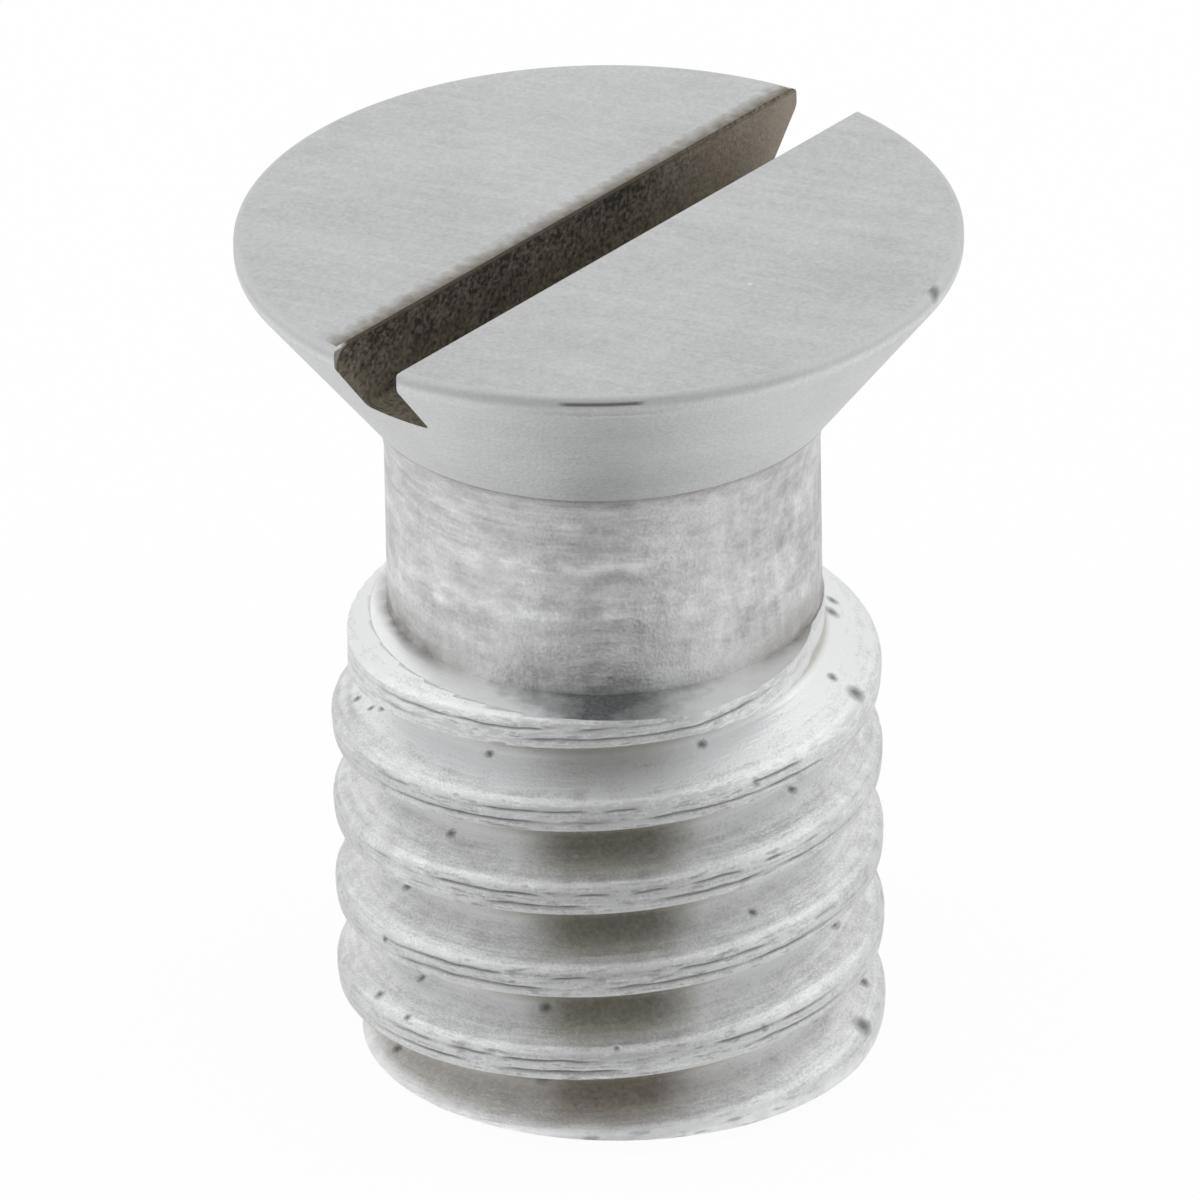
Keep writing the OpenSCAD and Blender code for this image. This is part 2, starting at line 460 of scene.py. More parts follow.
def shankSteel():
    look = shankLook
    finish, tree, shader = newFinish("shankSteel")
    axes = axesOf(tree, photoAzimuth)
    right, z = axes["X"], axes["Z"]
    lines = grainOf(tree, (1.3, 1.3, 0.06), 11.0)
    chatter = grainOf(tree, (0.13, 0.13, 0.45), 12.0)
    torn = grainOf(tree, (0.30, 0.30, 0.16), 13.0)
    cloud = grainOf(tree, (0.9, 0.9, 0.45), 14.0, 2.0)
    speckle = grainOf(tree, (0.04, 0.04, 0.04), 15.0)
    chattered = rangeOf(tree, right, *look["chatterSide"])
    chattered = mostOf(tree, chattered, rangeOf(tree, z, *look["chatterLow"]))
    marks = blendOf(tree, chattered, lines, chatter)
    skin = stackOf(tree, (0.9, marks), (1.1, torn), (0.9, cloud), (0.7, speckle))
    fade = look["bandFade"]
    for height, slant, start, stop in look["bands"]:
        middle = mathOf(tree, "MULTIPLY_ADD", right, slant, height)
        offset = mathOf(tree, "ABSOLUTE", mathOf(tree, "SUBTRACT", z, middle))
        band = rangeOf(tree, offset, *look["bandWidth"])
        band = productOf(tree, band, rangeOf(tree, right, start - fade, start + fade))
        band = productOf(tree, band, rangeOf(tree, right, stop + fade, stop - fade))
        band = productOf(tree, band, rangeOf(tree, torn, 0.35, 0.65, 0.05, 0.3))
        skin = mathOf(tree, "ADD", skin, band)
    shade = mathOf(tree, "SUBTRACT", skin, rangeOf(tree, right, *look["shadeSide"]))
    colour = tintOf(tree, shade, look["dark"], look["light"])

    # darker at the foot, most at the sides, and a brown line at the neck
    sideways = mathOf(tree, "ABSOLUTE", right)
    foot = productOf(tree, rangeOf(tree, z, *look["foot"]), rangeOf(tree, torn, 0.35, 0.6, 0.2, 0.9))
    foot = productOf(tree, foot, rangeOf(tree, sideways, *look["footSides"]))
    colour = tintOf(tree, foot, colour, look["dirtAndShadeColour"])
    neck = productOf(tree, rangeOf(tree, z, *look["neck"]), rangeOf(tree, torn, 0.35, 0.6, 0.25, 0.9))
    colour = tintOf(tree, neck, colour, look["rust"])
    rough = rangeOf(tree, skin, 0.2, 0.8, *look["roughness"])
    metallic = mathOf(tree, "SUBTRACT", 1.0, productOf(tree, foot, 0.4))
    setFinish(tree, shader, colour, metallic, rough, reliefOf(tree, skin, look["reliefDepth"]))
    return finish


# rim and the painted dark reflection on it are given by their depth below the top of the head
coneLook = {
    "dark": grey(0.60, -0.006),
    "light": grey(0.77, -0.008),
    # the nick colour also paints a dark reflection on the rim
    "nickAndReflectionColour": grey(0.08, 0.05),
    "roughness": (0.46, 0.54),
    "rim": (0.16, 0.1),
    "rimTint": 0.6,
    "rimRoughness": 0.72,
    "rimReflectionTop": (0.05, 0.07),
    "rimReflectionFoot": (0.11, 0.09, 0.0, 0.7),
    "rimReflectionSides": (0.48, 0.36),
    "rimReflectionFront": (-3.5, -3.7),
    "nicks": [(1.08, -3.69, 9.58, 0.13)],
    "nickFray": 0.05,
    "nickShare": 0.6,
    "reliefDepth": 0.004,
}


def coneSteel():
    look = coneLook
    finish, tree, shader = newFinish("coneSteel")
    rings = grainOf(tree, (2.5, 2.5, 0.03), 21.0)
    cloud = grainOf(tree, (0.8, 0.8, 0.4), 22.0, 2.0)
    speckle = grainOf(tree, (0.045, 0.045, 0.045), 23.0)
    skin = stackOf(tree, (0.5, rings), (0.8, cloud), (1.8, speckle))
    colour = tintOf(tree, skin, look["dark"], look["light"])
    right, away, z = axesOf(tree, photoAzimuth)
    below = mathOf(tree, "SUBTRACT", topZ, z)
    rim = rangeOf(tree, below, *look["rim"])
    colour = tintOf(tree, productOf(tree, rim, look["rimTint"]), colour, look["dark"])

    # a short painted dark reflection on the rim in front, and a nick at its right
    paintedRimReflection = productOf(tree, rim, rangeOf(tree, mathOf(tree, "ABSOLUTE", right), *look["rimReflectionSides"]))
    paintedRimReflection = productOf(tree, paintedRimReflection, rangeOf(tree, away, *look["rimReflectionFront"]))
    paintedRimReflection = productOf(tree, paintedRimReflection, rangeOf(tree, below, *look["rimReflectionTop"]))
    paintedRimReflection = productOf(tree, paintedRimReflection, rangeOf(tree, below, *look["rimReflectionFoot"]))
    nicks = spotsOf(tree, look["nicks"], look["nickFray"])
    dark = mostOf(tree, paintedRimReflection, productOf(tree, nicks, look["nickShare"]))
    colour = tintOf(tree, dark, colour, look["nickAndReflectionColour"])
    rough = rangeOf(tree, skin, 0.2, 0.8, *look["roughness"])
    rough = blendOf(tree, rim, rough, look["rimRoughness"])
    setFinish(tree, shader, colour, 1.0, rough, reliefOf(tree, skin, look["reliefDepth"]))
    return finish


topLook = {
    "dark": grey(0.455, -0.006),
    "light": grey(0.62, -0.008),
    "smear": (0.17, 0.15, 0.112, 1),
    "speck": grey(0.75),
    "roughness": (0.36, 0.48),
    "brushTurn": -73,
    "backLight": (-3.8, 3.8, -0.15, 0.12),
    "smearReach": (0.80, 0.58, 0.0, 0.95),
    "smearWander": 0.25,
    "smearSide": (0.0, 0.1),
    "specks": [(-0.007, -2.07, 9.61, 0.035)],
    "speckFray": 0.02,
    "reliefDepth": 0.004,
}


def topSteel():
    look = topLook
    finish, tree, shader = newFinish("topSteel")
    y = axesOf(tree)["Y"]
    away = axesOf(tree, photoAzimuth)["Y"]
    brush = grainOf(tree, (1.4, 0.05, 0.05), 31.0, 4.0, look["brushTurn"])
    strokes = grainOf(tree, (2.2, 0.22, 0.2), 32.0, 2.0, look["brushTurn"])
    cloud = grainOf(tree, (1.6, 1.6, 1.6), 33.0, 2.0)
    mottle = grainOf(tree, (0.16, 0.16, 0.16), 35.0)
    speckle = grainOf(tree, (0.05, 0.05, 0.05), 34.0)
    skin = stackOf(tree, (0.7, brush), (0.7, strokes), (1.2, cloud), (1.0, mottle), (1.8, speckle))
    # painted light: the top is painted darker at the front and lighter towards the back
    skin = mathOf(tree, "ADD", skin, rangeOf(tree, away, *look["backLight"]))
    colour = tintOf(tree, skin, look["dark"], look["light"])

    # dirt smeared along one edge of the slot, and a bright speck
    edge = mathOf(tree, "MULTIPLY_ADD", mottle, look["smearWander"], y)
    smear = productOf(tree, rangeOf(tree, edge, *look["smearReach"]), rangeOf(tree, y, *look["smearSide"]))
    colour = tintOf(tree, smear, colour, look["smear"])
    colour = tintOf(tree, spotsOf(tree, look["specks"], look["speckFray"]), colour, look["speck"])
    rough = rangeOf(tree, skin, 0.2, 0.8, *look["roughness"])
    relief = stackOf(tree, (0.8, brush), (0.4, speckle))
    setFinish(tree, shader, colour, 1.0, rough, reliefOf(tree, relief, look["reliefDepth"]))
    return finish


# deeper and lipBand are depths below the top, the next three run along the slot
slotLook = {
    "dark": (0.030, 0.027, 0.020, 1),
    "light": (0.22, 0.196, 0.15, 1),
    "back": (0.35, 0.30, 0.25, 1),
    "lip": (0.12, 0.106, 0.082, 1),
    "worn": grey(0.55, -0.006),
    "specular": 0.25,
    "roughness": (0.65, 0.85),
    "wornRoughness": 0.5,
    "deeper": (0.1, 0.7, -0.3, 0.15),
    "lipBand": (0.06, 0.01),
    "frontLight": (-2.4, -3.6, 0.0, 0.1),
    "backLight": (1.0, 3.6, 0.0, 0.4),
    "backLitTint": (1.2, 3.6, 0.0, 0.7),
    "mouth": (-3.57, 9.36, 0.25),  # x and z of the rounding's centre, and its radius
    "wornEdge": 0.03,
    "wornPast": (0.02, 0.08),
    "wornSide": (0.3, 0.35),
    "reliefDepth": 0.02,
}


def slotDark():
    look = slotLook
    finish, tree, shader = newFinish("slotDark")
    grit = grainOf(tree, (0.05, 0.05, 0.05), 41.0, 4.0)
    cloud = grainOf(tree, (0.5, 0.5, 0.3), 42.0, 2.0)
    x, y, z = axesOf(tree)
    below = mathOf(tree, "SUBTRACT", topZ, z)
    skin = stackOf(tree, (2.8, grit), (0.8, cloud))
    skin = mathOf(tree, "ADD", skin, rangeOf(tree, below, *look["deeper"]))
    # painted light: the slot is painted lighter towards both ends, most at the back, where it is also
    # tinted paler
    for name in ("frontLight", "backLight"):
        skin = mathOf(tree, "ADD", skin, rangeOf(tree, x, *look[name]))
    colour = tintOf(tree, skin, look["dark"], look["light"])
    colour = tintOf(tree, rangeOf(tree, x, *look["backLitTint"]), colour, look["back"])
    lip = productOf(tree, rangeOf(tree, below, *look["lipBand"]), rangeOf(tree, grit, 0.35, 0.6, 0.35, 1.0))
    colour = tintOf(tree, lip, colour, look["lip"])

    # the corner at the mouth is worn bright, along a round line
    cornerX, cornerZ, rounding = look["mouth"]
    past = mostOf(tree, mathOf(tree, "SUBTRACT", cornerX, x), 0.0)
    above = mostOf(tree, mathOf(tree, "SUBTRACT", z, cornerZ), 0.0)
    square = mathOf(tree, "ADD", productOf(tree, past, past), productOf(tree, above, above))
    beyond = mathOf(tree, "SQRT", square)
    worn = rangeOf(tree, beyond, rounding - look["wornEdge"], rounding + look["wornEdge"])
    worn = productOf(tree, worn, rangeOf(tree, past, *look["wornPast"]))
    worn = productOf(tree, worn, rangeOf(tree, y, *look["wornSide"]))
    colour = tintOf(tree, worn, colour, look["worn"])
    metallic = mostOf(tree, lip, worn)
    rough = rangeOf(tree, grit, 0.3, 0.7, *look["roughness"])
    rough = blendOf(tree, worn, rough, look["wornRoughness"])
    shader.inputs["Specular IOR Level"].default_value = look["specular"]
    setFinish(tree, shader, colour, metallic, rough, reliefOf(tree, grit, look["reliefDepth"]))
    return finish


finishes = {
    "thread": threadSteel(),
    "end": endSteel(),
    "shank": shankSteel(),
    "cone": coneSteel(),
    "top": topSteel(),
    "slot": slotDark(),
}
finishIndex = {name: i for i, name in enumerate(finishes)}


def dress(mesh):
    # every solid carries the same list of finishes, so the cuts keep their own
    if mesh.materials:
        mesh.materials.clear()
    for finish in finishes.values():
        mesh.materials.append(finish)


def newPiece(name, mesh):
    piece = bpy.data.objects.new(name, mesh)
    scene.collection.objects.link(piece)
    dress(mesh)
    return piece


# the thread: a strip one pitch wide, wound up the screw
thread = {
    "crestDiameter": 5.87,
    "length": 5.27,
    "pitch": 1.0,
    "flankAngle": 30.0,
    "exitAngle": 160.0,
    "flankStart": 0.12,
    "crestDrop": 0.05,
    "crestRound": 0.055,
    "lipWidth": 0.09,
    "lipDrop": 0.018,
    "rootWidth": 0.125,
    "dentDepth": 0.57,
    "dentBelow": 0.48,
    "dentRun": 0.133,
    "fadeBelow": 0.05,
    "fadeRun": 0.14,
    "firstTurn": -1.1,
    "spareTurns": 0.7,
    "stepsPerTurn": 288,
    "stepsAcross": 40,
    "crestCrowding": 0.4,
    "mergeDistance": 0.002,
}


def threadTree():
    tree = bpy.data.node_groups.new("woundThread", "GeometryNodeTree")
    sizes = ("Pitch", "Crest Radius", "Depth", "Flank Start", "Flank Slope", "Crest Drop", "Crest Round",
             "Lip Width", "Lip Drop", "Root Round", "Root Reach", "Exit Angle", "First Turn", "Turns",
             "Crest Crowding", "Fade Start", "Fade Run", "Dent Height", "Dent Run", "Dent Depth",
             "Merge Distance")
    for name in sizes:
        tree.interface.new_socket(name=name, in_out="INPUT", socket_type="NodeSocketFloat")
    for name in ("Points Along", "Points Across"):
        tree.interface.new_socket(name=name, in_out="INPUT", socket_type="NodeSocketInt")
    tree.interface.new_socket(name="Finish", in_out="INPUT", socket_type="NodeSocketMaterial")
    tree.interface.new_socket(name="Thread", in_out="OUTPUT", socket_type="NodeSocketGeometry")
    given = tree.nodes.new("NodeGroupInput").outputs

    grid = tree.nodes.new("GeometryNodeMeshGrid")
    feed(tree, given["Turns"], grid.inputs["Size X"])
    grid.inputs["Size Y"].default_value = 1.0
    feed(tree, given["Points Along"], grid.inputs["Vertices X"])
    feed(tree, given["Points Across"], grid.inputs["Vertices Y"])

    place = tree.nodes.new("GeometryNodeInputPosition").outputs[0]
    split = tree.nodes.new("ShaderNodeSeparateXYZ")
    feed(tree, place, split.inputs[0])
    halfTurns = mathOf(tree, "MULTIPLY", given["Turns"], 0.5)
    turn = mathOf(tree, "ADD", mathOf(tree, "ADD", split.outputs["X"], halfTurns), given["First Turn"])

    # across the strip, with the points drawn in towards the crest
    share = mathOf(tree, "MULTIPLY", mathOf(tree, "ABSOLUTE", split.outputs["Y"]), 2.0)
    crowd = blendOf(tree, share, given["Crest Crowding"], 1.0)
    halfPitch = productOf(tree, given["Pitch"], 0.5)
    offset = productOf(tree, share, crowd, halfPitch)
    rise = productOf(tree, offset, mathOf(tree, "SIGN", split.outputs["Y"]))

    # the crest is rolled over into a lip on its lower side, so the flank starts later there
    isLower = mathOf(tree, "LESS_THAN", split.outputs["Y"], 0.0)
    flankStart = mathOf(tree, "MULTIPLY_ADD", isLower, given["Lip Width"], given["Flank Start"])
    rootEdge = mathOf(tree, "SUBTRACT", halfPitch, given["Root Reach"])
    fullRun = mathOf(tree, "SUBTRACT", rootEdge, given["Flank Start"])
    fullDrop = mathOf(tree, "MULTIPLY_ADD", fullRun, given["Flank Slope"], given["Crest Drop"])
    crestDrop = blendOf(tree, isLower, given["Crest Drop"], given["Lip Drop"])
    flankDrop = mathOf(tree, "SUBTRACT", fullDrop, crestDrop)
    flankSlope = mathOf(tree, "DIVIDE", flankDrop, mathOf(tree, "SUBTRACT", rootEdge, flankStart))

    # drop below the crest: a rounded crest, a straight flank, a round root
    crestShare = mathOf(tree, "DIVIDE", offset, flankStart)
    crest = productOf(tree, crestShare, crestShare, crestDrop)
    crest = mathOf(tree, "MINIMUM", crest, crestDrop)
    flank = productOf(tree, mathOf(tree, "SUBTRACT", offset, flankStart), flankSlope)
    flank = mathOf(tree, "ADD", flank, crestDrop)
    toRoot = mathOf(tree, "SUBTRACT", halfPitch, offset)
    roundSquare = productOf(tree, given["Root Round"], given["Root Round"])
    arc = mathOf(tree, "SQRT", mathOf(tree, "SUBTRACT", roundSquare, productOf(tree, toRoot, toRoot)))
    arc = mathOf(tree, "ADD", mathOf(tree, "SUBTRACT", given["Depth"], given["Root Round"]), arc)
    inRoot = mathOf(tree, "LESS_THAN", toRoot, given["Root Reach"])
    ridge = mathOf(tree, "SMOOTH_MAX", crest, flank, given["Crest Round"])
    drop = blendOf(tree, inRoot, ridge, arc)

    # the first crest fades out at the shoulder and is beaten down half a turn before
    crestHeight = productOf(tree, turn, given["Pitch"])
    fade = mathOf(tree, "SUBTRACT", crestHeight, given["Fade Start"])
    fade = mathOf(tree, "DIVIDE", fade, given["Fade Run"])
    fade = mathOf(tree, "MINIMUM", mostOf(tree, fade, 0.0), 1.0)
    dent = mathOf(tree, "SUBTRACT", crestHeight, given["Dent Height"])
    dent = mathOf(tree, "DIVIDE", dent, given["Dent Run"])
    dent = mathOf(tree, "EXPONENT", productOf(tree, dent, dent, -1.0))
    faded = productOf(tree, fade, given["Depth"])
    dented = productOf(tree, dent, given["Dent Depth"])
    radius = mathOf(tree, "SUBTRACT", given["Crest Radius"], mostOf(tree, drop, faded, dented))

    angle = mathOf(tree, "ADD", productOf(tree, turn, 2 * math.pi), given["Exit Angle"])
    across = productOf(tree, radius, mathOf(tree, "COSINE", angle))
    back = productOf(tree, radius, mathOf(tree, "SINE", angle))
    wound = vectorOf(tree, across, back, mathOf(tree, "ADD", crestHeight, rise))
    setPlace = tree.nodes.new("GeometryNodeSetPosition")
    feed(tree, grid.outputs["Mesh"], setPlace.inputs["Geometry"])
    feed(tree, wound, setPlace.inputs["Position"])

    # neighbouring turns share their edge
    merge = tree.nodes.new("GeometryNodeMergeByDistance")
    feed(tree, setPlace.outputs[0], merge.inputs["Geometry"])
    feed(tree, given["Merge Distance"], merge.inputs["Distance"])
    realize = tree.nodes.new("GeometryNodeRealizeInstances")
    feed(tree, merge.outputs[0], realize.inputs[0])
    setSteel = tree.nodes.new("GeometryNodeSetMaterial")
    feed(tree, realize.outputs[0], setSteel.inputs["Geometry"])
    feed(tree, given["Finish"], setSteel.inputs["Material"])
    feed(tree, setSteel.outputs[0], tree.nodes.new("NodeGroupOutput").inputs[0])
    return tree


def plainMesh(piece):
    shown = piece.evaluated_get(bpy.context.evaluated_depsgraph_get())
    mesh = bpy.data.meshes.new_from_object(shown)
    piece.modifiers.clear()
    old = piece.data
    piece.data = mesh
    bpy.data.meshes.remove(old)
    return mesh


def windThread():
    t = thread
    slope = math.radians(t["flankAngle"])
    pitch = t["pitch"]
    depth = t["crestDrop"] + (pitch / 2 - t["flankStart"] - t["rootWidth"] / 2) / math.tan(slope)
    rootRound = t["rootWidth"] / 2 * math.cos(slope) / (1 - math.sin(slope))
    # the strip runs on past the shoulder, so that no pocket stays open under the shank
    steps = round((t["length"] / pitch + t["spareTurns"] - t["firstTurn"]) * t["stepsPerTurn"])
    values = {
        "Pitch": pitch * mm,
        "Crest Radius": t["crestDiameter"] / 2 * mm,
        "Depth": depth * mm,
        "Flank Start": t["flankStart"] * mm,
        "Flank Slope": 1 / math.tan(slope),
        "Crest Drop": t["crestDrop"] * mm,
        "Crest Round": t["crestRound"] * mm,
        "Lip Width": t["lipWidth"] * mm,
        "Lip Drop": t["lipDrop"] * mm,
        "Root Round": rootRound * mm,
        "Root Reach": rootRound * math.cos(slope) * mm,
        "Exit Angle": math.radians(t["exitAngle"]),
        "First Turn": t["firstTurn"],
        "Turns": steps / t["stepsPerTurn"],
        "Crest Crowding": t["crestCrowding"],
        "Fade Start": (t["length"] - t["fadeBelow"]) * mm,
        "Fade Run": t["fadeRun"] * mm,
        "Dent Height": (t["length"] - t["dentBelow"]) * mm,
        "Dent Run": t["dentRun"] * mm,
        "Dent Depth": t["dentDepth"] * mm,
        "Merge Distance": t["mergeDistance"] * mm,
        "Points Along": steps + 1,
        "Points Across": t["stepsAcross"] + 1,
        "Finish": finishes["thread"],
    }
    piece = newPiece("screwBody", bpy.data.meshes.new("screwBody"))
    tree = threadTree()
    modifier = piece.modifiers.new("woundThread", "NODES")
    modifier.node_group = tree
    for socket in tree.interface.items_tree:
        if socket.in_out == "INPUT":
            modifier[socket.identifier] = values[socket.name]
    mesh = plainMesh(piece)
    dress(mesh)
    closeEnds(mesh)
    print("thread wound:", len(mesh.polygons), "faces")
    return piece


def closeEnds(mesh):
    # the open spiral at each end of the strip gets a fan to the axis
    work = bmesh.new()
    work.from_mesh(mesh)
    rim = [e for e in work.edges if e.is_boundary]
    heights = [v.co.z for v in work.verts]
    middle = (min(heights) + max(heights)) / 2
    for isLow in (True, False):
        edges = [e for e in rim if (e.verts[0].co.z < middle) == isLow]
        levels = [e.verts[0].co.z for e in edges]
        centre = work.verts.new((0, 0, min(levels) if isLow else max(levels)))
        for edge in edges:
            work.faces.new((edge.verts[0], edge.verts[1], centre))
    bmesh.ops.recalc_face_normals(work, faces=work.faces)
    work.to_mesh(mesh)
    work.free()


piece = windThread()


def spinOutline(name, outline, finishOf, segments):
    # turns an outline of (radius, height) round the axis into a closed solid
    work = bmesh.new()
    angles = [2 * math.pi * i / segments for i in range(segments)]
    rings = []
    for radius, height in outline:
        ring = [(radius * math.cos(a) * mm, radius * math.sin(a) * mm, height * mm) for a in angles]
        rings.append([work.verts.new(spot) for spot in (ring if radius > 0 else ring[:1])])
    for i, (low, high) in enumerate(zip(rings, rings[1:])):
        for k in range(segments):
            nextK = (k + 1) % segments
            corners = [low[k % len(low)], low[nextK % len(low)]]
            corners += [high[nextK % len(high)], high[k % len(high)]]
            face = work.faces.new(list(dict.fromkeys(corners)))  # a ring of one point gives triangles
            face.material_index = finishIndex[finishOf(i)]
    bmesh.ops.recalc_face_normals(work, faces=work.faces)
    mesh = bpy.data.meshes.new(name)
    work.to_mesh(mesh)
    work.free()
    return newPiece(name, mesh)


def arcPoints(centre, radius, first, last, steps=6):
    angles = [math.radians(first + (last - first) * i / steps) for i in range(steps + 1)]
    return [(centre[0] + radius * math.cos(a), centre[1] + radius * math.sin(a)) for a in angles]


def linePoints(first, last, steps):
    return [tuple(a + (b - a) * i / steps for a, b in zip(first, last)) for i in range(steps + 1)]


# flat end, its chamfer and the shoulder: the room that the thread is cut to
def endLimits():
    endRadius = end["diameter"] / 2
    length = thread["length"]
    clear = thread["crestDiameter"] / 2 + end["shift"] + end["clearance"]
    clearHeight = (clear - endRadius) / math.tan(math.radians(end["chamferAngle"]))
    outline = [(0, 0), (endRadius, 0), (clear, clearHeight), (clear, length), (0, length)]
    room = spinOutline("endLimits", outline, lambda i: "end", end["segments"])
    room.data.transform(Matrix.Translation(endOffset() * mm))
    return room


# head and waisted shank
head = {
    "diameter": 7.71,
    "coneAngle": 76.0,
    "rimBreak": 0.07,
    "rimLand": 0.1,
    "rimRound": 0.14,
    "shankDiameter": 4.63,
    "neckFillet": 1.0,
    "overlap": 0.05,
    "segments": 288,
    "shankSteps": 28,
    "filletSteps": 12,
    "coneSteps": 14,
}


def headAndShank():
    h = head
    radius = h["diameter"] / 2
    shank = h["shankDiameter"] / 2
    half = h["coneAngle"] / 2
    slope = math.tan(math.radians(half))
    rimLow = topZ - h["rimBreak"] - h["rimLand"]
    rim = arcPoints((radius - h["rimRound"], rimLow), h["rimRound"], -half, 0)
    coneTop = rim[0]
    neck = coneTop[1] - (coneTop[0] - shank) / slope
    filletRun = h["neckFillet"] * math.tan(math.radians(half / 2))
    base = thread["length"] - h["overlap"]
    filletCentre = (shank + h["neckFillet"], neck - filletRun)
    fillet = arcPoints(filletCentre, h["neckFillet"], 180, 180 - half, h["filletSteps"])
    brow = arcPoints((radius - h["rimBreak"], topZ - h["rimBreak"]), h["rimBreak"], 0, 90)
    shankLine = linePoints((shank, base), fillet[0], h["shankSteps"])
    coneLine = linePoints(fillet[-1], coneTop, h["coneSteps"])
    outline = [(0, base)] + shankLine[:-1] + fillet[:-1] + coneLine[:-1] + rim + brow
    outline += [(brow[-1][0] - h["rimBreak"], topZ), (0, topZ)]
    shankEnd = len(shankLine) + len(fillet) - 1
    topStart = len(outline) - 3

    def finishOf(i):
        return "shank" if i < shankEnd else "top" if i >= topStart else "cone"

    return spinOutline("headAndShank", outline, finishOf, h["segments"])


# driver slot, cut right across
slot = {
    "width": 0.85,
    "depth": 0.88,
    "lip": 0.025,
    "corner": 0.06,
    "cornerSteps": 4,
    "clearance": 0.3,
}


def slotCutter():
    s = slot
    half = s["width"] / 2
    floor = topZ - s["depth"]
    lip = s["lip"]
    up = topZ + s["clearance"]
    right = arcPoints((half - s["corner"], floor + s["corner"]), s["corner"], -90, 0, s["cornerSteps"])
    right += [(half, topZ - lip), (half + lip, topZ), (half + lip, up)]
    profile = right + [(-y, z) for y, z in reversed(right)]
    reach = head["diameter"] / 2 + s["clearance"]
    work = bmesh.new()
    ends = [[work.verts.new((x * mm, y * mm, z * mm)) for y, z in profile] for x in (-reach, reach)]
    count = len(profile)
    for k in range(count):
        work.faces.new((ends[0][k], ends[0][(k + 1) % count], ends[1][(k + 1) % count], ends[1][k]))
    for ring in ends:
        work.faces.new(ring)
    bmesh.ops.recalc_face_normals(work, faces=work.faces)
    for face in work.faces:
        face.material_index = finishIndex["slot"]
    mesh = bpy.data.meshes.new("slotCutter")
    work.to_mesh(mesh)
    work.free()
    return newPiece("slotCutter", mesh)


def combine(piece, tool, operation):
    modifier = piece.modifiers.new(operation.lower(), "BOOLEAN")
    modifier.operation = operation
    modifier.solver = "EXACT"
    modifier.object = tool
    mesh = plainMesh(piece)
    bpy.data.objects.remove(tool)
    print(operation.lower(), "done:", len(mesh.polygons), "faces")


combine(piece, endLimits(), "INTERSECT")
combine(piece, headAndShank(), "UNION")
combine(piece, slotCutter(), "DIFFERENCE")


def smoothSkin(mesh, sharpAngle=35):
    for polygon in mesh.polygons:
        polygon.use_smooth = True
    mesh.set_sharp_from_angle(angle=math.radians(sharpAngle))


smoothSkin(piece.data)


# wear on the crests: fine tears where the metal folded over, and small chips
wear = {
    "tears": (
        {"rise": 0.02, "width": 0.015, "depth": 0.03, "run": 0.4, "onset": -0.1},
        {"rise": -0.105, "width": 0.016, "depth": 0.035, "run": 0.8, "onset": -0.4},
    ),
    "tearsApart": 7.3,
    "openingRun": 0.3,
    "drift": 0.016,
    "driftRun": 0.25,
    "chipDepth": 0.014,
    "chipRun": 0.11,
    "chipRise": 0.08,
    "chipReach": 0.12,
    "shownFrom": 0.45,
    "shownAll": 0.75,
    "lowest": 0.4,
    "lowestRun": 0.3,
    "crestBand": 0.25,
    "innerRadius": 2.2,
    "shoulderGap": 0.001,
}


def ramp(value, first, run):
    return min(max((value - first) / run, 0), 1)


def wearThread(mesh):
    pitch = thread["pitch"]
    crest = thread["crestDiameter"] / 2
    drops = mesh.attributes.new("drop", "FLOAT", "POINT").data
    rises = mesh.attributes.new("rise", "FLOAT", "POINT").data
    seams = mesh.attributes.new("seam", "FLOAT", "POINT").data
    for i, vertex in enumerate(mesh.vertices):
        spot = vertex.co / mm
        radius = math.hypot(spot.x, spot.y)
        if spot.z > thread["length"] - wear["shoulderGap"] or radius < wear["innerRadius"]:
            continue
        angle = math.atan2(spot.y, spot.x)
        turn = spot.z / pitch - (angle - math.radians(thread["exitAngle"])) / (2 * math.pi)
        rise = (turn - round(turn)) * pitch
        drops[i].value = abs(rise)
        rises[i].value = rise
        if radius < crest - wear["crestBand"]:
            continue
        along = Vector((crest * math.cos(angle), crest * math.sin(angle), spot.z - rise))
        drift = wear["drift"] * noise.noise(along / wear["driftRun"])
        chip = max(noise.noise(along / wear["chipRun"] + Vector((0, 0, rise / wear["chipRise"]))), 0)
        sunk = wear["chipDepth"] * chip * math.exp(-(rise / wear["chipReach"]) ** 2)
        facing = abs(math.cos(angle - math.radians(photoAzimuth - 90)))
        shown = ramp(facing, wear["shownFrom"], wear["shownAll"] - wear["shownFrom"])
        shown *= ramp(spot.z, wear["lowest"], wear["lowestRun"])
        seam = 0
        for k, tear in enumerate(wear["tears"]):
            opening = noise.noise(along / tear["run"] + Vector((wear["tearsApart"] * k, 0, 0)))
            opening = ramp(opening, tear["onset"], wear["openingRun"]) * shown
            cut = opening * math.exp(-((rise - tear["rise"] - drift) / tear["width"]) ** 2)
            seam = max(seam, cut)
            sunk += tear["depth"] * cut
        seams[i].value = seam
        vertex.co.xy *= (radius - sunk) / radius
    print("crests worn")


wearThread(piece.data)
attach(piece, "root")
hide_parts("screw")


# camera, as fitted to the photo's outline
photo = {
    "frame": 1200,
    "elevation": 28.18,
    "roll": 1.009,
    "distance": 262.7,
    "targetHeight": 5.0,
    "pixelsPerMm": 94.026,
    "targetPixel": (605.22, 613.54),
    "clipStart": 10,
}


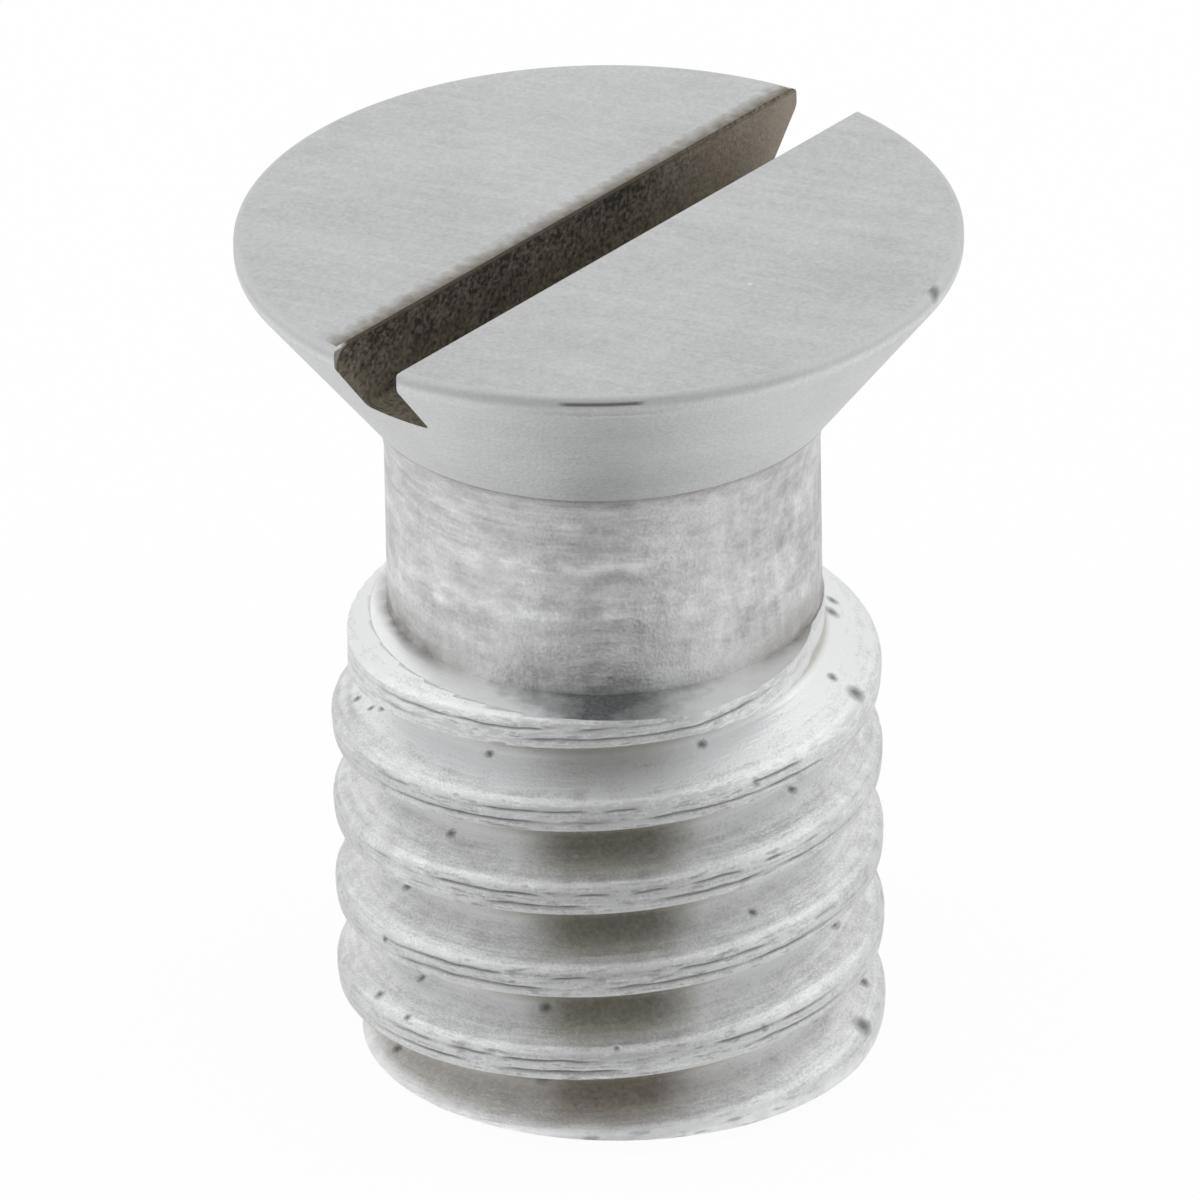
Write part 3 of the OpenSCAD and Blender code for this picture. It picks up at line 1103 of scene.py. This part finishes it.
def addCamera():
    data = bpy.data.cameras.new("photoCamera")
    camera = bpy.data.objects.new("photoCamera", data)
    scene.collection.objects.link(camera)
    rise = math.radians(photo["elevation"])
    target = rigSpot(0, 0, photo["targetHeight"])
    offset = rigSpot(0, -photo["distance"] * math.cos(rise), photo["distance"] * math.sin(rise))
    camera.location = target + offset
    look = (-offset).to_track_quat("-Z", "Y").to_matrix()
    roll = Matrix.Rotation(-math.radians(photo["roll"]), 3, "Z")
    camera.rotation_euler = (look @ roll).to_euler()
    data.lens = photo["pixelsPerMm"] * photo["distance"] / photo["frame"] * data.sensor_width
    half = photo["frame"] / 2
    data.shift_x = (half - photo["targetPixel"][0]) / photo["frame"]
    data.shift_y = (photo["targetPixel"][1] - half) / photo["frame"]
    data.clip_start = photo["clipStart"] * mm
    scene.camera = camera


addCamera()
print("camera set")


# stage: pale floor, two soft boxes at the sides, dark flags that only reflections see, and among them a
# dark card on the floor in front as a painted shadow
stage = {"floorSize": 4000, "floorLevel": 0.9, "floorGlow": 0.94, "ambient": 0.9}


def pathShare(tree):
    # camera, glossy and transmission rays see the white background
    path = tree.nodes.new("ShaderNodeLightPath").outputs
    return mostOf(tree, path["Is Camera Ray"], path["Is Glossy Ray"], path["Is Transmission Ray"])


def addFloor():
    half = stage["floorSize"] / 2 * mm
    mesh = bpy.data.meshes.new("floor")
    corners = [(-half, -half, 0), (half, -half, 0), (half, half, 0), (-half, half, 0)]
    mesh.from_pydata(corners, [], [(0, 1, 2, 3)])
    floor = bpy.data.objects.new("floor", mesh)
    scene.collection.objects.link(floor)
    paper, tree, shader = newFinish("floorPaper")
    shader.inputs["Base Color"].default_value = grey(stage["floorLevel"])
    shader.inputs["Roughness"].default_value = 0.9
    shader.inputs["Specular IOR Level"].default_value = 0
    glow = tree.nodes.new("ShaderNodeEmission")
    mix = tree.nodes.new("ShaderNodeMixShader")
    feed(tree, productOf(tree, pathShare(tree), stage["floorGlow"]), mix.inputs[0])
    feed(tree, shader.outputs[0], mix.inputs[1])
    feed(tree, glow.outputs[0], mix.inputs[2])
    feed(tree, mix.outputs[0], tree.nodes["Material Output"].inputs["Surface"])
    mesh.materials.append(paper)


def addWorld():
    world = bpy.data.worlds.new("studio")
    scene.world = world
    world.use_nodes = True
    tree = world.node_tree
    soft = tree.nodes["Background"]
    soft.inputs["Color"].default_value = grey(1.0)
    soft.inputs["Strength"].default_value = stage["ambient"]
    white = tree.nodes.new("ShaderNodeBackground")
    white.inputs["Color"].default_value = grey(1.0)
    mix = tree.nodes.new("ShaderNodeMixShader")
    feed(tree, pathShare(tree), mix.inputs[0])
    feed(tree, soft.outputs[0], mix.inputs[1])
    feed(tree, white.outputs[0], mix.inputs[2])
    feed(tree, mix.outputs[0], tree.nodes["World Output"].inputs["Surface"])


softBoxes = {
    "left": {"spot": (-298, -53, 180), "size": 400, "glow": 0.35},
    "right": {"spot": (298, -53, 180), "size": 400, "glow": 0.33},
}


def addSoftBox(name, box):
    data = bpy.data.lights.new(name + "SoftBox", "AREA")
    data.size = box["size"] * mm
    data.energy = box["glow"] * 4 * data.size ** 2  # the glow is what a mirror would show
    light = bpy.data.objects.new(name + "SoftBox", data)
    scene.collection.objects.link(light)
    light.location = rigSpot(*box["spot"])
    aim = rigSpot(0, 0, topZ / 2) - light.location
    light.rotation_euler = aim.to_track_quat("-Z", "Y").to_euler()
    light.visible_camera = False


flags = {
    # painted shadow: a dark card on the floor in front, where the object's shadow would fall, seen only in
    # reflections
    "paintedShadowCard": {
        "corners": [(-3.3, -6.5, 0.05), (-10.5, -21, 0.05), (10.5, -21, 0.05), (3.3, -6.5, 0.05)],
        "level": 0.36,
    },
    "lensFlag": {
        "corners": [(-102, -380, 5), (102, -380, 5), (102, -380, 400), (-102, -380, 400)],
        "level": 0.01,
    },
    "leftFlag": {
        "corners": [(-303, -254, 5), (-102, -380, 5), (-102, -380, 190), (-303, -254, 190)],
        "level": 0.04,
    },
    "ceilingFlag": {
        "corners": [(-64, -250, 300), (64, -250, 300), (64, 80, 300), (-64, 80, 300)],
        "level": 0.5,
    },
    "rightFlag": {
        "corners": [(102, -380, 5), (303, -254, 5), (303, -254, 190), (102, -380, 190)],
        "level": 0.45,
    },
}


def addFlag(name, flag):
    mesh = bpy.data.meshes.new(name)
    mesh.from_pydata([rigSpot(*corner) for corner in flag["corners"]], [], [(0, 1, 2, 3)])
    card = bpy.data.objects.new(name, mesh)
    scene.collection.objects.link(card)
    felt, _, shader = newFinish(name + "Felt")
    shader.inputs["Base Color"].default_value = grey(flag["level"])
    shader.inputs["Roughness"].default_value = 1
    shader.inputs["Specular IOR Level"].default_value = 0
    mesh.materials.append(felt)
    card.visible_camera = False
    card.visible_diffuse = False
    card.visible_shadow = False


addFloor()
addWorld()
for name, flag in flags.items():
    addFlag(name, flag)
for name, box in softBoxes.items():
    addSoftBox(name, box)
print("studio lit")

scene.view_settings.view_transform = "Standard"
